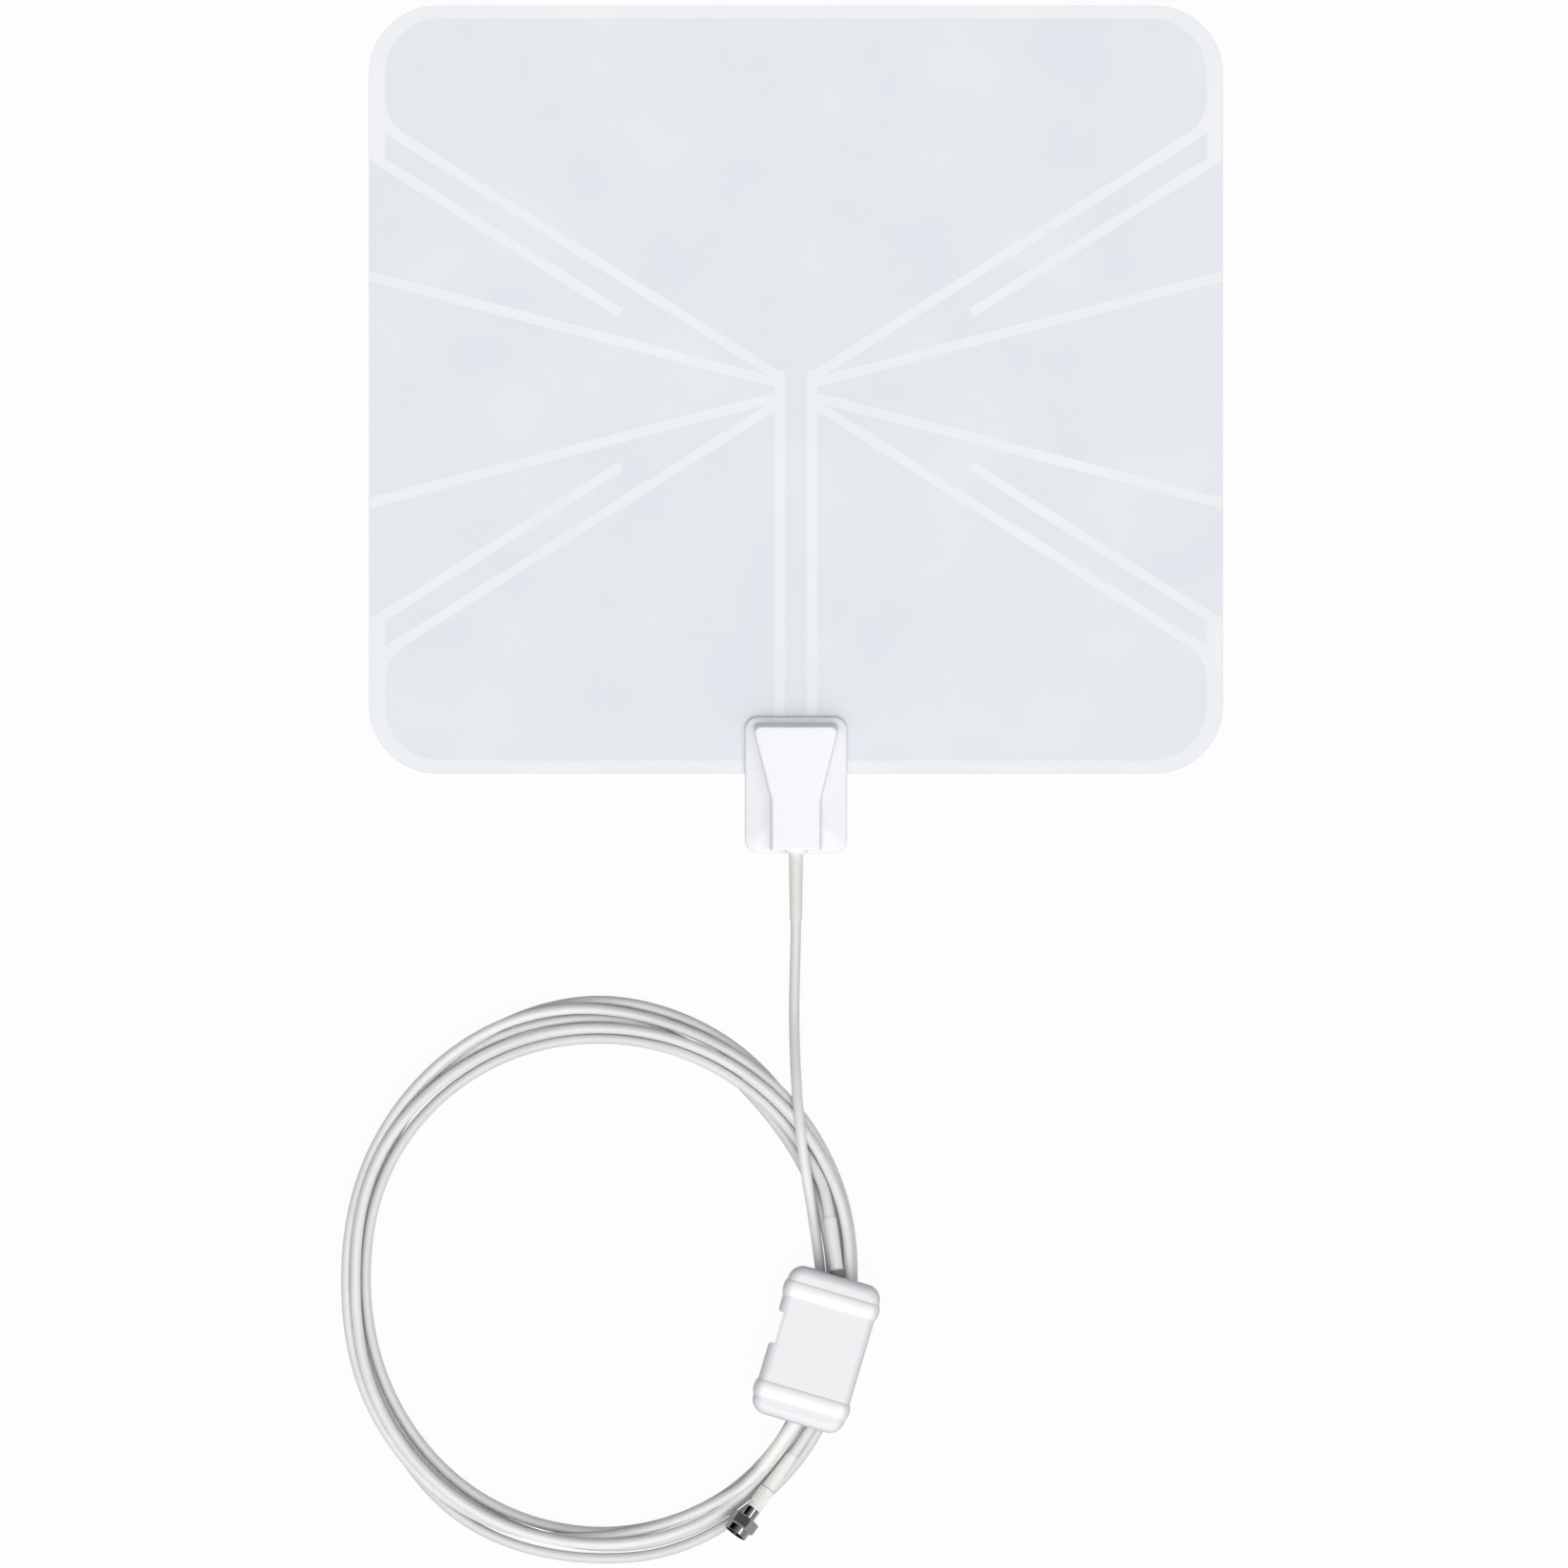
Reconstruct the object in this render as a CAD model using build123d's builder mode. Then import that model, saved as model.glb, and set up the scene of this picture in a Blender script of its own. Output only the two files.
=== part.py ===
from build123d import *
import math
import os

# Flat indoor television antenna: a printed panel held in a moulded base, with an in-line amplifier
# on a coiled coaxial lead that ends in a threaded plug. Millimetres, +Z up, lying face up.
# The origin is on the resting surface, below the middle of the panel and its base.

# Panel
PANEL_WIDTH = 336.5
PANEL_HEIGHT = 302.4
PANEL_THICKNESS = 1.0
PANEL_CORNER = 27.0

# Printed conductor: a folded fan dipole with a twin feed line
TRACE_DEPTH = 0.15
TRACE_WIDTH = 3.9
RIM_SIDE_WIDTH = 6.0
RIM_END_WIDTH = 4.7
RIM_INSET = 0.35
RIM_FILLET = 17.0
FEED_SPACING = 12.7
HUB_RISE = 5.0
RIM_GAP_SHARE = 0.6
OUTER_RAY_SHARE = 0.348
INNER_RAY_SHARE = 0.148
STUB_SHARE = 0.337
PAD_LENGTH = 6.0

# Base housing
BASE_WIDTH = 40.2
BASE_HEIGHT = 53.6
BASE_CORNER = 5.2
BASE_OVERLAP = 22.3
BASE_WALL = 1.2
EDGE_HEIGHT = 2.2
EDGE_FILLET = 0.9
WING_HEIGHT = 3.6
WING_SLOPE = 9.0
WING_TOP_CORNER = 1.2
PLATEAU_HEIGHT = 9.2
PLATEAU_FILLET = 0.8
FUNNEL_TOP_INSET = 2.0
FUNNEL_TOP_SLOPE = 1.9
FUNNEL_SIDE_SLOPE = 1.0
FUNNEL_BOTTOM_INSET = 1.3
FUNNEL_MOUTH = 35.4
FUNNEL_NECK = 20.8
FUNNEL_LENGTH = 32.6
FUNNEL_RADII = (2.4, 9.0, 0.8, 0.8, 9.0, 2.4)
EXIT_LIP = 0.1
EXIT_LIP_RADIUS = 4.4
STAKE_RADIUS = 1.5
STAKE_SPACING = 30.0
STAKE_DROP = 14.0
REAR_RIB_HEIGHT = 0.9
REAR_RIB_WIDTH = 1.2
BASE_SCREW_SPACING = 28.0
BASE_SCREW_RISE = 12.0
BASE_BOSS_RADIUS = 2.4
BOSS_HEIGHT = 2.4
PILOT_DEPTH = 1.7

# Pieces inside the base
BALUN_BOARD_WIDTH = 22.0
BALUN_BOARD_THICKNESS = 1.0
BALUN_BOARD_INSET = 8.0
BALUN_BOARD_DROP = 9.0
CORE_WIDTH = 8.0
CORE_LENGTH = 6.5
CORE_HEIGHT = 4.2
CORE_BORE = 1.1
CORE_GAP = 1.0
CONTACT_WIDTH = 2.4
CONTACT_STRIP = 0.2
CONTACT_REACH = 4.0

# Screws
SCREW_RADIUS = 1.1
SCREW_HEAD_RADIUS = 2.0
SCREW_HEAD_HEIGHT = 0.7

# Coaxial lead and its sleeves
LEAD_DIAMETER = 4.1
LEAD_AXIS_HEIGHT = 4.9
BOOT_RADIUS = 2.85
BOOT_END_RADIUS = 2.4
BOOT_NECK_RADIUS = 2.4
BOOT_LENGTH = 26.2
BOOT_FLANGE = 2.0
BOOT_BORE_DEPTH = 10.0
SLEEVE_RADIUS = 2.45
SLEEVE_TAIL = 2.0

# Coil of five loose turns
COIL_CENTRE = (-76.9, -335.0)
COIL_RADII = (102.1, 112.1)
COIL_HOLE_CENTRE = (-79.7, -337.5)
COIL_HOLE_RADII = (87.4, 95.6)
COIL_HEIGHT = 8.0
COIL_CHAMFER = 1.6

# In-line amplifier
AMP_CENTRE = (8.0, -361.9)
AMP_TURN = -16.5
AMP_LENGTH = 60.4
AMP_WIDTH = 37.4
AMP_HEIGHT = 14.0
AMP_CORNER = 6.0
AMP_WALL = 1.6
AMP_PARTING = 6.0
AMP_TOP_FILLET = 3.8
AMP_BOTTOM_FILLET = 1.0
BEAD_WIDTH = 7.0
BEAD_PROUD = 0.9
BEAD_SUNK = 0.5
BEAD_INSET = 9.8
NOTCH_LENGTH = 12.75
NOTCH_DEPTH = 2.4
NOTCH_SHIFT = 4.0
NOTCH_EDGE = 0.9
GROMMET_RADIUS = 3.1
GROMMET_PROUD = 2.0
AMP_BOARD_MARGIN = 1.2
AMP_BOARD_THICKNESS = 1.2
AMP_BOARD_HEIGHT = 3.2
AMP_POST_RADIUS = 2.4
AMP_POST_SPACING = (24.0, 46.0)
CAN_SIZE = (17.0, 24.0, 4.6)
CAN_WALL = 0.3
CAN_SHIFT = 4.0
CAN_FILLET = 0.8
SOCKET_SIZE = (5.2, 7.5, 2.7)
SOCKET_WALL = 0.3
SOCKET_TONGUE = 0.7

# Threaded plug
PLUG_START = (-1.53, -403.9, 5.5)
PLUG_HEADING = 233.6
PLUG_TILT = 10.0
PLUG_SLEEVE_LENGTH = 16.4
PLUG_SLEEVE_RADII = (2.3, 2.8)
GRIP_GAP = 0.4
GRIP_RADIUS = 3.1
GRIP_LENGTH = 9.4
GRIP_RIBS = 20
GRIP_RIB_DEPTH = 0.35
GRIP_END = 1.0
PLUG_NECK_RADIUS = 3.05
PLUG_NECK_LENGTH = 4.4
NUT_FLATS = 10.4
NUT_SIDES = 6
NUT_TURN = 11.7
NUT_HEX_LENGTH = 5.0
NUT_LIP_RADIUS = 4.8
NUT_LIP_LENGTH = 2.8
NUT_BORE_RADIUS = 4.33
NUT_BACK = 1.6
NUT_CHAMFER = 0.55
PLUG_FLANGE_LENGTH = 1.2
INSULATOR_RADIUS = 1.9
INSULATOR_PROUD = 0.5
PIN_RADIUS = 0.41

# Clearances
FIT_CLEARANCE = 0.15
SCREW_CLEARANCE = 0.05
LEAD_CLEARANCE = 0.05
NUT_RADIAL_CLEARANCE = 0.08
NUT_END_CLEARANCE = 0.12
COIL_CLEARANCE = 0.35

# Places that follow from the sizes
overall_height = PANEL_HEIGHT + BASE_HEIGHT + EXIT_LIP - BASE_OVERLAP
panel_y = overall_height / 2 - PANEL_HEIGHT / 2
panel_bottom = panel_y - PANEL_HEIGHT / 2
base_bottom = -overall_height / 2 + EXIT_LIP
base_top = base_bottom + BASE_HEIGHT
base_y = base_bottom + BASE_HEIGHT / 2
face_z = PANEL_THICKNESS
edge_z = face_z + EDGE_HEIGHT
wing_z = face_z + WING_HEIGHT
plateau_z = face_z + PLATEAU_HEIGHT
lead_radius = LEAD_DIAMETER / 2
stake_y = base_top - STAKE_DROP
base_screw_y = base_bottom + BASE_SCREW_RISE
board_z = face_z + REAR_RIB_HEIGHT
board_top = board_z + BALUN_BOARD_THICKNESS
board_low = base_bottom + BALUN_BOARD_INSET
board_high = base_top - BALUN_BOARD_DROP
contact_y = board_high - CONTACT_REACH
pad_low = contact_y - PAD_LENGTH / 2
shell_width = BASE_WIDTH - 2 * BASE_WALL
shell_height = BASE_HEIGHT - 2 * BASE_WALL
boot_seat = base_bottom + FUNNEL_BOTTOM_INSET + BASE_WALL
boot_start = boot_seat + BOOT_FLANGE
boot_end = base_bottom - EXIT_LIP - BOOT_LENGTH

amp_plane = Plane((*AMP_CENTRE, COIL_HEIGHT), x_dir=Vector(1, 0, 0).rotate(Axis.Z, AMP_TURN), z_dir=(0, 0, 1))

# Route of the lead from the base over the edge of the coil, and the two short runs at the amplifier
LEAD_ROUTE = [
    (0.0, boot_end + BOOT_BORE_DEPTH, LEAD_AXIS_HEIGHT),
    (0.0, -199.0, LEAD_AXIS_HEIGHT),
    (-0.5, -215.0, 2.7),
    (-0.75, -231.5, 2.25),
    (-0.4, -246.5, 4.8),
    (0.3, -259.5, 9.2),
    (1.1, -269.5, 11.8),
    (2.2, -280.5, 11.8),
    (3.9, -292.5, 9.6),
    (5.9, -304.5, 6.2),
    (7.3, -313.5, 4.4),
]
AMP_INPUT_ROUTE = [
    (4.9, -285.6, 4.6),
    (9.0, -293.2, 7.2),
    (12.08, -301.67, 9.72),
    (13.4, -310.5, 10.9),
]
AMP_OUTPUT_ROUTE = [
    (-13.4, -408.3, 10.9),
    (-18.1, -414.68, 9.84),
    (-25.0, -420.3, 7.6),
    (-31.9, -425.1, 5.4),
]


def bend_radii(route):
    """Largest arc at each inner point of a route: 0.45 of the shorter run over the half turn's tangent."""
    points = [Vector(p) for p in route]
    radii = []
    for before, here, after in zip(points, points[1:], points[2:]):
        turn = math.radians((here - before).get_angle(after - here))
        shorter = min((here - before).length, (after - here).length)
        radii.append(0.45 * shorter / math.tan(turn / 2))
    return radii


def funnel_outline(top, bottom, mouth, neck):
    """Corner points of the raised funnel, from its wide mouth down to its parallel neck."""
    bend = base_top - FUNNEL_LENGTH
    return [
        (-mouth / 2, top),
        (-neck / 2, bend),
        (-neck / 2, bottom),
        (neck / 2, bottom),
        (neck / 2, bend),
        (mouth / 2, top),
    ]


os.makedirs("parts", exist_ok=True)


# Printed conductor, one quarter drawn and mirrored, with the feed lines down to the contact pads
rim_gap = PANEL_HEIGHT * RIM_GAP_SHARE
outer_ray_rise = PANEL_HEIGHT * OUTER_RAY_SHARE
inner_ray_rise = PANEL_HEIGHT * INNER_RAY_SHARE
stub_length = PANEL_WIDTH * STUB_SHARE
rim_width = PANEL_WIDTH - 2 * RIM_INSET
rim_height = PANEL_HEIGHT - 2 * RIM_INSET
rim_corner = PANEL_CORNER - RIM_INSET
rim_edge = rim_width / 2
rim_middle = rim_edge - RIM_SIDE_WIDTH / 2
hub_x = FEED_SPACING / 2
hub_gap = FEED_SPACING - TRACE_WIDTH
ray_slope = (outer_ray_rise - HUB_RISE) / (rim_middle - hub_x)
ray_angle = math.atan(ray_slope)
stub_x = rim_middle - stub_length * math.cos(ray_angle)
stub_y = rim_gap / 2 - stub_length * math.sin(ray_angle)
ray_edge = TRACE_WIDTH / 2 / math.cos(ray_angle)
stub_root = rim_gap / 2 + ray_slope * RIM_SIDE_WIDTH
joint_x = rim_edge - RIM_SIDE_WIDTH
joint_y = HUB_RISE + ray_slope * (joint_x - hub_x) + ray_edge
with BuildPart() as printed_element:
    with BuildSketch(Plane((0, panel_y, face_z - TRACE_DEPTH))):
        RectangleRounded(rim_width, rim_height, rim_corner)
        RectangleRounded(
            rim_width - 2 * RIM_SIDE_WIDTH,
            rim_height - 2 * RIM_END_WIDTH,
            rim_corner - RIM_END_WIDTH,
            mode=Mode.SUBTRACT,
        )
        Rectangle(PANEL_WIDTH, rim_gap, mode=Mode.SUBTRACT)
        with BuildLine():
            Line((hub_x, HUB_RISE), (rim_middle, outer_ray_rise))
            Line((hub_x, HUB_RISE / 2), (PANEL_WIDTH / 2, inner_ray_rise))
            Line((rim_edge + RIM_SIDE_WIDTH / 2, stub_root), (stub_x, stub_y))
            Line((hub_x, -HUB_RISE), (hub_x, HUB_RISE + ray_edge))
        trace(line_width=TRACE_WIDTH)
        Rectangle(hub_gap, rim_gap, mode=Mode.SUBTRACT)
        fillet(vertices().sort_by_distance((joint_x, joint_y, 0))[0], RIM_FILLET)
        Rectangle(rim_width / 2, rim_height / 2, align=(Align.MIN, Align.MIN), mode=Mode.INTERSECT)
        mirror(about=Plane.YZ)
        mirror(about=Plane.XZ)
        with Locations((-hub_x, pad_low - panel_y), (hub_x, pad_low - panel_y)):
            Rectangle(TRACE_WIDTH, panel_y - pad_low, align=(Align.CENTER, Align.MIN))
    extrude(amount=TRACE_DEPTH)

# Panel, with the printed channel and the holes for the base's stakes
with BuildPart() as antenna_panel:
    with BuildSketch(Plane((0, panel_y, 0))):
        RectangleRounded(PANEL_WIDTH, PANEL_HEIGHT, PANEL_CORNER)
    extrude(amount=PANEL_THICKNESS)
    with Locations((0, stake_y, PANEL_THICKNESS)):
        with GridLocations(STAKE_SPACING, 0, 2, 1):
            Hole(STAKE_RADIUS + FIT_CLEARANCE)
    add(printed_element.part, mode=Mode.SUBTRACT)

# Base front cover: a shallow shell with sloping wings, a raised funnel, panel stakes and screw bosses
with BuildPart() as base_front_cover:
    with BuildSketch(Plane((0, base_y, face_z))):
        RectangleRounded(BASE_WIDTH, BASE_HEIGHT, BASE_CORNER)
    extrude(amount=EDGE_HEIGHT)
    with BuildSketch(Plane((0, base_y, edge_z))):
        RectangleRounded(BASE_WIDTH, BASE_HEIGHT, BASE_CORNER)
    with BuildSketch(Plane((0, base_y, wing_z))):
        RectangleRounded(BASE_WIDTH - 2 * WING_SLOPE, BASE_HEIGHT - 2 * WING_SLOPE, WING_TOP_CORNER)
    loft(ruled=True)
    fillet(edges().filter_by_position(Axis.Z, edge_z, edge_z), EDGE_FILLET)
    with BuildSketch(Plane.XY.offset(edge_z - EDGE_FILLET)):
        with BuildLine():
            FilletPolyline(
                *funnel_outline(
                    base_top - FUNNEL_TOP_INSET,
                    base_bottom + EDGE_FILLET,
                    FUNNEL_MOUTH,
                    FUNNEL_NECK,
                ),
                radius=FUNNEL_RADII,
                close=True,
            )
        make_face()
    with BuildSketch(Plane.XY.offset(plateau_z)):
        with BuildLine():
            FilletPolyline(
                *funnel_outline(
                    base_top - FUNNEL_TOP_INSET - FUNNEL_TOP_SLOPE,
                    base_bottom + FUNNEL_BOTTOM_INSET,
                    FUNNEL_MOUTH - 2 * FUNNEL_SIDE_SLOPE,
                    FUNNEL_NECK - 2 * FUNNEL_SIDE_SLOPE,
                ),
                radius=FUNNEL_RADII,
                close=True,
            )
        make_face()
    loft(ruled=True)
    fillet(faces().sort_by(Axis.Z)[-1].edges(), PLATEAU_FILLET)
    with BuildSketch(Plane((0, boot_seat, LEAD_AXIS_HEIGHT), x_dir=(1, 0, 0), z_dir=(0, -1, 0))):
        Circle(EXIT_LIP_RADIUS)
        with Locations((0, face_z - LEAD_AXIS_HEIGHT)):
            Rectangle(BASE_WIDTH, BASE_HEIGHT, align=(Align.CENTER, Align.MIN), mode=Mode.INTERSECT)
    extrude(amount=boot_seat - base_bottom + EXIT_LIP)
    with BuildSketch(Plane((0, base_y, face_z))):
        RectangleRounded(shell_width, shell_height, BASE_CORNER - BASE_WALL)
    extrude(amount=EDGE_HEIGHT - BASE_WALL, mode=Mode.SUBTRACT)
    with BuildSketch(Plane((0, base_y, edge_z - BASE_WALL))):
        RectangleRounded(shell_width, shell_height, BASE_CORNER - BASE_WALL)
    with BuildSketch(Plane((0, base_y, wing_z - BASE_WALL))):
        RectangleRounded(BASE_WIDTH - 2 * WING_SLOPE, BASE_HEIGHT - 2 * WING_SLOPE, WING_TOP_CORNER)
    loft(ruled=True, mode=Mode.SUBTRACT)
    with BuildSketch(Plane.XY.offset(face_z)):
        with BuildLine():
            Polyline(
                *funnel_outline(
                    base_top - FUNNEL_TOP_INSET - FUNNEL_TOP_SLOPE - BASE_WALL,
                    boot_seat,
                    FUNNEL_MOUTH - 2 * (FUNNEL_SIDE_SLOPE + BASE_WALL),
                    FUNNEL_NECK - 2 * (FUNNEL_SIDE_SLOPE + BASE_WALL),
                ),
                close=True,
            )
        make_face()
    extrude(amount=PLATEAU_HEIGHT - BASE_WALL, mode=Mode.SUBTRACT)
    with BuildSketch(Plane((0, base_bottom - EXIT_LIP, LEAD_AXIS_HEIGHT), x_dir=(1, 0, 0), z_dir=(0, 1, 0))):
        Circle(BOOT_NECK_RADIUS + LEAD_CLEARANCE)
        Rectangle(
            2 * (BOOT_NECK_RADIUS + LEAD_CLEARANCE),
            LEAD_AXIS_HEIGHT - face_z,
            align=(Align.CENTER, Align.MIN),
        )
    extrude(amount=boot_seat - base_bottom + EXIT_LIP, mode=Mode.SUBTRACT)
    with BuildSketch(Plane.XY.offset(face_z + BOSS_HEIGHT)):
        with Locations((0, stake_y)):
            with GridLocations(STAKE_SPACING, 0, 2, 1):
                Circle(STAKE_RADIUS)
    extrude(amount=-(face_z + BOSS_HEIGHT))
    with BuildSketch(Plane.XY.offset(face_z)):
        with Locations((0, base_screw_y)):
            with GridLocations(BASE_SCREW_SPACING, 0, 2, 1):
                Circle(BASE_BOSS_RADIUS)
    extrude(amount=BOSS_HEIGHT)
    with BuildSketch(Plane.XY.offset(face_z)):
        with Locations((0, base_screw_y)):
            with GridLocations(BASE_SCREW_SPACING, 0, 2, 1):
                Circle(SCREW_RADIUS + SCREW_CLEARANCE)
    extrude(amount=PILOT_DEPTH, mode=Mode.SUBTRACT)

# Base rear cover: a plate flush with the panel's back, with ribs that carry the board
rib_y = (board_low + panel_bottom) / 2
with BuildPart() as base_rear_cover:
    with BuildSketch():
        with Locations((0, base_y)):
            RectangleRounded(BASE_WIDTH, BASE_HEIGHT, BASE_CORNER)
        with Locations((0, panel_bottom - FIT_CLEARANCE)):
            Rectangle(BASE_WIDTH, BASE_HEIGHT, align=(Align.CENTER, Align.MAX), mode=Mode.INTERSECT)
    extrude(amount=PANEL_THICKNESS)
    with BuildSketch(Plane.XY.offset(face_z)):
        with Locations((0, rib_y)):
            with GridLocations(BALUN_BOARD_WIDTH - REAR_RIB_WIDTH, 0, 2, 1):
                Rectangle(REAR_RIB_WIDTH, panel_bottom - board_low - 2 * REAR_RIB_WIDTH)
    extrude(amount=REAR_RIB_HEIGHT)
    with Locations(Plane((0, base_screw_y, 0), z_dir=(0, 0, -1))):
        with GridLocations(BASE_SCREW_SPACING, 0, 2, 1):
            CounterSinkHole(SCREW_RADIUS + SCREW_CLEARANCE, SCREW_HEAD_RADIUS + SCREW_CLEARANCE)

# Board inside the base
with BuildPart() as balun_board:
    with BuildSketch(Plane.XY.offset(board_z)):
        with Locations((0, board_low)):
            Rectangle(BALUN_BOARD_WIDTH, board_high - board_low, align=(Align.CENTER, Align.MIN))
    extrude(amount=BALUN_BOARD_THICKNESS)

# Two-hole ferrite core on the board
with BuildPart() as balun_core:
    core_end = (0, panel_bottom - CORE_GAP - CORE_LENGTH, board_top)
    with BuildSketch(Plane(core_end, x_dir=(1, 0, 0), z_dir=(0, 1, 0))):
        Rectangle(CORE_WIDTH, CORE_HEIGHT, align=(Align.CENTER, Align.MAX))
        with Locations((0, -CORE_HEIGHT / 2)):
            with GridLocations(CORE_WIDTH / 2, 0, 2, 1):
                Circle(CORE_BORE, mode=Mode.SUBTRACT)
    extrude(amount=CORE_LENGTH)

# Spring contacts between the board and the printed pads
with BuildPart() as feed_contacts:
    with BuildSketch(Plane((-hub_x, contact_y, face_z), x_dir=(0, 1, 0), z_dir=(1, 0, 0))):
        with BuildLine():
            rise = board_z - face_z
            Polyline(
                (0, 0),
                (CONTACT_REACH / 2, 0),
                (CONTACT_REACH / 2, CONTACT_STRIP),
                (CONTACT_STRIP, CONTACT_STRIP),
                (-CONTACT_REACH / 2 + CONTACT_STRIP, rise - CONTACT_STRIP),
                (CONTACT_REACH / 2, rise - CONTACT_STRIP),
                (CONTACT_REACH / 2, rise),
                (-CONTACT_REACH / 2, rise),
                (-CONTACT_REACH / 2, rise - CONTACT_STRIP),
                close=True,
            )
        make_face()
    extrude(amount=CONTACT_WIDTH / 2, both=True)
    mirror(about=Plane.YZ)

# Countersunk screws from the back of the base
with BuildPart() as base_screws:
    with BuildSketch(Plane((0, base_screw_y, 0), x_dir=(1, 0, 0), z_dir=(0, -1, 0))):
        with BuildLine():
            Polyline(
                (0, 0),
                (SCREW_HEAD_RADIUS, 0),
                (SCREW_RADIUS, SCREW_HEAD_HEIGHT),
                (SCREW_RADIUS, face_z + PILOT_DEPTH),
                (0, face_z + PILOT_DEPTH),
                close=True,
            )
        make_face()
    revolve(axis=Axis((0, base_screw_y, 0), (0, 0, 1)))
    screw = base_screws.part
with BuildPart() as base_screw_pair:
    with GridLocations(BASE_SCREW_SPACING, 0, 2, 1):
        add(screw)

# Strain relief boot at the base
with BuildPart() as base_strain_relief:
    wall_outer = base_bottom - EXIT_LIP
    with BuildSketch(Plane((0, 0, LEAD_AXIS_HEIGHT), x_dir=(1, 0, 0), z_dir=(0, 0, 1))):
        with BuildLine():
            Polyline(
                (0, boot_start),
                (BOOT_RADIUS, boot_start),
                (BOOT_RADIUS, boot_seat),
                (BOOT_NECK_RADIUS, boot_seat),
                (BOOT_NECK_RADIUS, wall_outer),
                (BOOT_RADIUS, wall_outer),
                (BOOT_END_RADIUS, boot_end),
                (lead_radius + LEAD_CLEARANCE, boot_end),
                (lead_radius + LEAD_CLEARANCE, boot_end + BOOT_BORE_DEPTH),
                (0, boot_end + BOOT_BORE_DEPTH),
                close=True,
            )
        make_face()
    revolve(axis=Axis((0, 0, LEAD_AXIS_HEIGHT), (0, 1, 0)))

# Lead from the base to the coil, and the runs into and out of the amplifier
lead_parts = {}
for lead_name, route in (
    ("antenna_lead", LEAD_ROUTE),
    ("amp_input_lead", AMP_INPUT_ROUTE),
    ("amp_output_lead", AMP_OUTPUT_ROUTE),
):
    radii = bend_radii(route)
    print(lead_name, "radii", [round(r, 1) for r in radii])
    with BuildPart() as lead:
        with BuildLine() as lead_path:
            FilletPolyline(*route, radius=radii)
        with BuildSketch(lead_path.line ^ 0):
            Circle(lead_radius)
        sweep()
    path_length = sum(edge.length for edge in lead_path.line.edges())
    section_volume = math.pi * lead_radius**2 * path_length
    print(lead_name, "volume over section times length", round(lead.part.volume / section_volume, 4))
    lead_parts[lead_name] = lead.part

# Plug plane: its axis runs out of the coil, tilted up so that the nut stands on the outer turn
plug_axis = Vector(1, 0, 0).rotate(Axis.Y, -PLUG_TILT).rotate(Axis.Z, PLUG_HEADING)
plug_plane = Plane(PLUG_START, x_dir=Vector(0, 1, 0).rotate(Axis.Z, PLUG_HEADING), z_dir=plug_axis)
grip_start = PLUG_SLEEVE_LENGTH + GRIP_GAP
neck_start = grip_start + GRIP_LENGTH
nut_start = neck_start + PLUG_NECK_LENGTH
nut_lip_start = nut_start + NUT_HEX_LENGTH
nut_end = nut_lip_start + NUT_LIP_LENGTH
flange_start = nut_start + NUT_BACK + NUT_END_CLEARANCE
flange_end = flange_start + PLUG_FLANGE_LENGTH
pin_start = flange_end + INSULATOR_PROUD
nut_corner = NUT_FLATS / math.sqrt(3)

# Coil of the lead: the outer shape of its turns, with room for the plug that lies in it
with BuildPart() as cable_coil:
    with BuildSketch():
        with Locations(COIL_CENTRE):
            Ellipse(*COIL_RADII)
        with Locations(COIL_HOLE_CENTRE):
            Ellipse(*COIL_HOLE_RADII, mode=Mode.SUBTRACT)
    extrude(amount=COIL_HEIGHT)
    chamfer(edges(), COIL_CHAMFER)
    with BuildSketch(plug_plane):
        Circle(PLUG_SLEEVE_RADII[1] + COIL_CLEARANCE)
    extrude(amount=neck_start, mode=Mode.SUBTRACT)
    with BuildSketch(plug_plane.offset(grip_start - COIL_CLEARANCE)):
        Circle(GRIP_RADIUS + COIL_CLEARANCE)
    extrude(amount=GRIP_LENGTH + PLUG_NECK_LENGTH, mode=Mode.SUBTRACT)
    with BuildSketch(plug_plane.offset(nut_start - COIL_CLEARANCE)):
        Circle(nut_corner + COIL_CLEARANCE)
    extrude(amount=2 * (nut_end - nut_start), mode=Mode.SUBTRACT)

# Tapered sleeve at the plug end of the lead
with BuildPart() as plug_sleeve:
    with BuildSketch(plug_plane):
        Circle(PLUG_SLEEVE_RADII[0])
    with BuildSketch(plug_plane.offset(PLUG_SLEEVE_LENGTH)):
        Circle(PLUG_SLEEVE_RADII[1])
    loft()

# Ribbed grip, on the bare lead behind it
with BuildPart() as plug_grip:
    with BuildSketch(plug_plane.offset(PLUG_SLEEVE_LENGTH)):
        Circle(lead_radius)
    extrude(amount=GRIP_GAP)
    with BuildSketch(plug_plane.offset(grip_start)):
        Circle(GRIP_RADIUS)
    extrude(amount=GRIP_LENGTH)
    with BuildSketch(plug_plane.offset(grip_start + GRIP_END)):
        with PolarLocations(GRIP_RADIUS, GRIP_RIBS):
            Circle(GRIP_RIB_DEPTH)
    extrude(amount=GRIP_LENGTH - 2 * GRIP_END, mode=Mode.SUBTRACT)

# Plug body: neck, and the flange that keeps the nut on
with BuildPart() as plug_body:
    with BuildSketch(plug_plane.offset(neck_start)):
        Circle(PLUG_NECK_RADIUS)
    extrude(amount=flange_start - neck_start)
    with BuildSketch(plug_plane.offset(flange_start)):
        Circle(NUT_BORE_RADIUS - 2 * NUT_RADIAL_CLEARANCE)
        Circle(INSULATOR_RADIUS, mode=Mode.SUBTRACT)
    extrude(amount=PLUG_FLANGE_LENGTH)

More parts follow.
